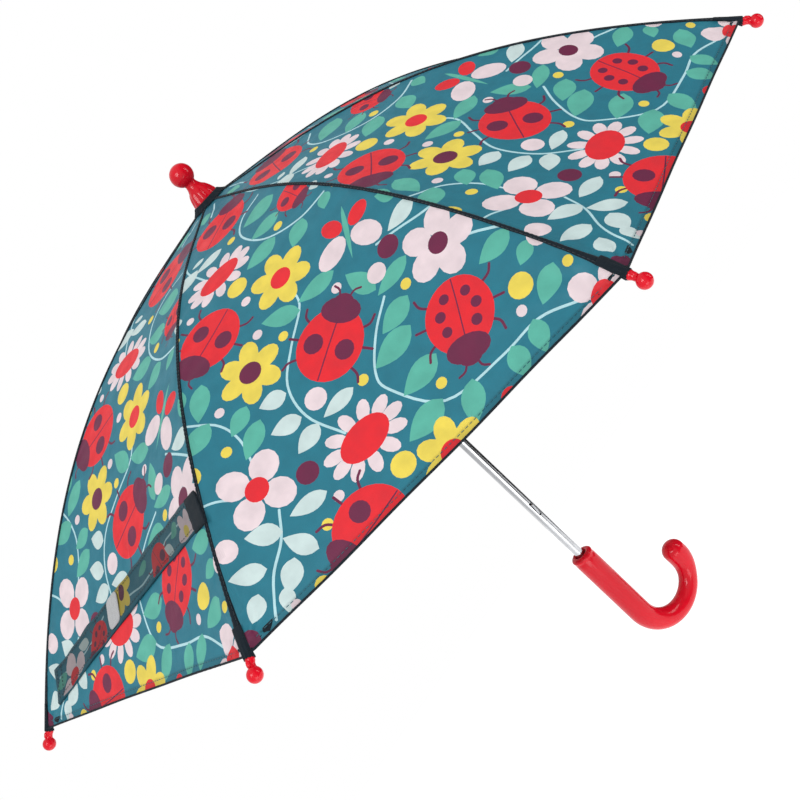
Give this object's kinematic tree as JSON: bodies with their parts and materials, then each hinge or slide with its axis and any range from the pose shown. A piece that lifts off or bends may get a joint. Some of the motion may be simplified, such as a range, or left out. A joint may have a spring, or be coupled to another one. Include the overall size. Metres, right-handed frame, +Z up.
{
  "type": "children's umbrella",
  "caption": "Small straight umbrella, open, with a printed cloth canopy on hinged steel ribs, a sliding runner and a curved plastic hook handle.",
  "frame": {"origin": "middle of the hand grip, on the shaft's axis", "axes": "+Z up the shaft to the ferrule, +X the way the handle hooks, -Y along the first rib"},
  "size_m": [0.729, 0.729, 0.5635],
  "materials": {
    "shaft_steel": "polished",
    "rib_steel": "plated wire",
    "catch_steel": "spring steel",
    "red_plastic": "glossy",
    "black_plastic": "satin",
    "printed_cloth": "satin polyester with a printed garden pattern",
    "dark_cloth": "gathered polyester",
    "grey_patch": "hook and loop"
  },
  "bodies": {
    "shaft": {"shaft": "shaft_steel", "handle": "red_plastic", "ferrule": "red_plastic", "rosette": "dark_cloth", "crown": "black_plastic", "crown_ring": "rib_steel", "stop_pin": "rib_steel"},
    "runner": {"runner": "black_plastic", "runner_ring": "rib_steel"},
    "top_catch": {"top_catch": "catch_steel"},
    "bottom_catch": {"bottom_catch": "catch_steel"},
    "rib_1": {"rib_1": "rib_steel", "tip_1": "red_plastic", "canopy_1": "printed_cloth"},
    "rib_2": {"rib_2": "rib_steel", "tip_2": "red_plastic", "canopy_2": "printed_cloth"},
    "rib_3": {"rib_3": "rib_steel", "tip_3": "red_plastic", "canopy_3": "printed_cloth"},
    "rib_4": {"rib_4": "rib_steel", "tip_4": "red_plastic", "canopy_4": "printed_cloth"},
    "rib_5": {"rib_5": "rib_steel", "tip_5": "red_plastic", "canopy_5": "printed_cloth"},
    "rib_6": {"rib_6": "rib_steel", "tip_6": "red_plastic", "canopy_6": "printed_cloth"},
    "rib_7": {"rib_7": "rib_steel", "tip_7": "red_plastic", "canopy_7": "printed_cloth"},
    "rib_8": {"rib_8": "rib_steel", "tip_8": "red_plastic", "canopy_8": "printed_cloth", "strap": "printed_cloth", "strap_patch": "grey_patch"},
    "stretcher_1": {"stretcher_1": "rib_steel", "rivet_1": "rib_steel"},
    "stretcher_2": {"stretcher_2": "rib_steel", "rivet_2": "rib_steel"},
    "stretcher_3": {"stretcher_3": "rib_steel", "rivet_3": "rib_steel"},
    "stretcher_4": {"stretcher_4": "rib_steel", "rivet_4": "rib_steel"},
    "stretcher_5": {"stretcher_5": "rib_steel", "rivet_5": "rib_steel"},
    "stretcher_6": {"stretcher_6": "rib_steel", "rivet_6": "rib_steel"},
    "stretcher_7": {"stretcher_7": "rib_steel", "rivet_7": "rib_steel"},
    "stretcher_8": {"stretcher_8": "rib_steel", "rivet_8": "rib_steel"}
  },
  "joints": [
    {"name": "runner_slide", "type": "slide", "parent": "shaft", "child": "runner", "axis": [0, 0, 1], "range_m": [-0.21298, 0], "deforming": ["top_catch"]},
    {"name": "top_catch_press", "type": "slide", "parent": "shaft", "child": "top_catch", "axis": [0, 1, 0], "range_m": [0, 0.0028], "stiffness_N_per_m": 250},
    {"name": "bottom_catch_press", "type": "slide", "parent": "shaft", "child": "bottom_catch", "axis": [0, 1, 0], "range_m": [0, 0.0028], "stiffness_N_per_m": 250},
    {"name": "rib_1_hinge", "type": "hinge", "parent": "shaft", "child": "rib_1", "pos_m": [0, -0.0085, 0.445], "axis": [1, 0, 0], "range_deg": [0, 64.69], "deforming": ["canopy_1"]},
    {"name": "rib_2_hinge", "type": "hinge", "parent": "shaft", "child": "rib_2", "pos_m": [0.00601, -0.00601, 0.445], "axis": [0.7071, 0.7071, 0], "range_deg": [0, 64.69], "deforming": ["canopy_2"]},
    {"name": "rib_3_hinge", "type": "hinge", "parent": "shaft", "child": "rib_3", "pos_m": [0.0085, 0, 0.445], "axis": [0, 1, 0], "range_deg": [0, 64.69], "deforming": ["canopy_3"]},
    {"name": "rib_4_hinge", "type": "hinge", "parent": "shaft", "child": "rib_4", "pos_m": [0.00601, 0.00601, 0.445], "axis": [-0.7071, 0.7071, 0], "range_deg": [0, 64.69], "deforming": ["canopy_4"]},
    {"name": "rib_5_hinge", "type": "hinge", "parent": "shaft", "child": "rib_5", "pos_m": [0, 0.0085, 0.445], "axis": [-1, 0, 0], "range_deg": [0, 64.69], "deforming": ["canopy_5"]},
    {"name": "rib_6_hinge", "type": "hinge", "parent": "shaft", "child": "rib_6", "pos_m": [-0.00601, 0.00601, 0.445], "axis": [-0.7071, -0.7071, 0], "range_deg": [0, 64.69], "deforming": ["canopy_6"]},
    {"name": "rib_7_hinge", "type": "hinge", "parent": "shaft", "child": "rib_7", "pos_m": [-0.0085, 0, 0.445], "axis": [0, -1, 0], "range_deg": [0, 64.69], "deforming": ["canopy_7"]},
    {"name": "rib_8_hinge", "type": "hinge", "parent": "shaft", "child": "rib_8", "pos_m": [-0.00601, -0.00601, 0.445], "axis": [0.7071, -0.7071, 0], "range_deg": [0, 64.69], "deforming": ["canopy_8", "strap", "strap_patch"]},
    {"name": "stretcher_1_hinge", "type": "hinge", "parent": "runner", "child": "stretcher_1", "pos_m": [0.0024, -0.00919, 0.3463], "axis": [1, 0, 0], "range_deg": [-53.69, 0]},
    {"name": "stretcher_2_hinge", "type": "hinge", "parent": "runner", "child": "stretcher_2", "pos_m": [0.0082, -0.0048, 0.3463], "axis": [0.7071, 0.7071, 0], "range_deg": [-53.69, 0]},
    {"name": "stretcher_3_hinge", "type": "hinge", "parent": "runner", "child": "stretcher_3", "pos_m": [0.00919, 0.0024, 0.3463], "axis": [0, 1, 0], "range_deg": [-53.69, 0]},
    {"name": "stretcher_4_hinge", "type": "hinge", "parent": "runner", "child": "stretcher_4", "pos_m": [0.0048, 0.0082, 0.3463], "axis": [-0.7071, 0.7071, 0], "range_deg": [-53.69, 0]},
    {"name": "stretcher_5_hinge", "type": "hinge", "parent": "runner", "child": "stretcher_5", "pos_m": [-0.0024, 0.00919, 0.3463], "axis": [-1, 0, 0], "range_deg": [-53.69, 0]},
    {"name": "stretcher_6_hinge", "type": "hinge", "parent": "runner", "child": "stretcher_6", "pos_m": [-0.0082, 0.0048, 0.3463], "axis": [-0.7071, -0.7071, 0], "range_deg": [-53.69, 0]},
    {"name": "stretcher_7_hinge", "type": "hinge", "parent": "runner", "child": "stretcher_7", "pos_m": [-0.00919, -0.0024, 0.3463], "axis": [0, -1, 0], "range_deg": [-53.69, 0]},
    {"name": "stretcher_8_hinge", "type": "hinge", "parent": "runner", "child": "stretcher_8", "pos_m": [-0.0048, -0.0082, 0.3463], "axis": [0.7071, -0.7071, 0], "range_deg": [-53.69, 0]}
  ],
  "couplings": [
    {"joint": "rib_1_hinge", "follows": "runner_slide", "rad_per_m": -5.3003},
    {"joint": "rib_2_hinge", "follows": "runner_slide", "rad_per_m": -5.3003},
    {"joint": "rib_3_hinge", "follows": "runner_slide", "rad_per_m": -5.3003},
    {"joint": "rib_4_hinge", "follows": "runner_slide", "rad_per_m": -5.3003},
    {"joint": "rib_5_hinge", "follows": "runner_slide", "rad_per_m": -5.3003},
    {"joint": "rib_6_hinge", "follows": "runner_slide", "rad_per_m": -5.3003},
    {"joint": "rib_7_hinge", "follows": "runner_slide", "rad_per_m": -5.3003},
    {"joint": "rib_8_hinge", "follows": "runner_slide", "rad_per_m": -5.3003},
    {"joint": "stretcher_1_hinge", "follows": "runner_slide", "rad_per_m": 4.3984},
    {"joint": "stretcher_2_hinge", "follows": "runner_slide", "rad_per_m": 4.3984},
    {"joint": "stretcher_3_hinge", "follows": "runner_slide", "rad_per_m": 4.3984},
    {"joint": "stretcher_4_hinge", "follows": "runner_slide", "rad_per_m": 4.3984},
    {"joint": "stretcher_5_hinge", "follows": "runner_slide", "rad_per_m": 4.3984},
    {"joint": "stretcher_6_hinge", "follows": "runner_slide", "rad_per_m": 4.3984},
    {"joint": "stretcher_7_hinge", "follows": "runner_slide", "rad_per_m": 4.3984},
    {"joint": "stretcher_8_hinge", "follows": "runner_slide", "rad_per_m": 4.3984}
  ]
}
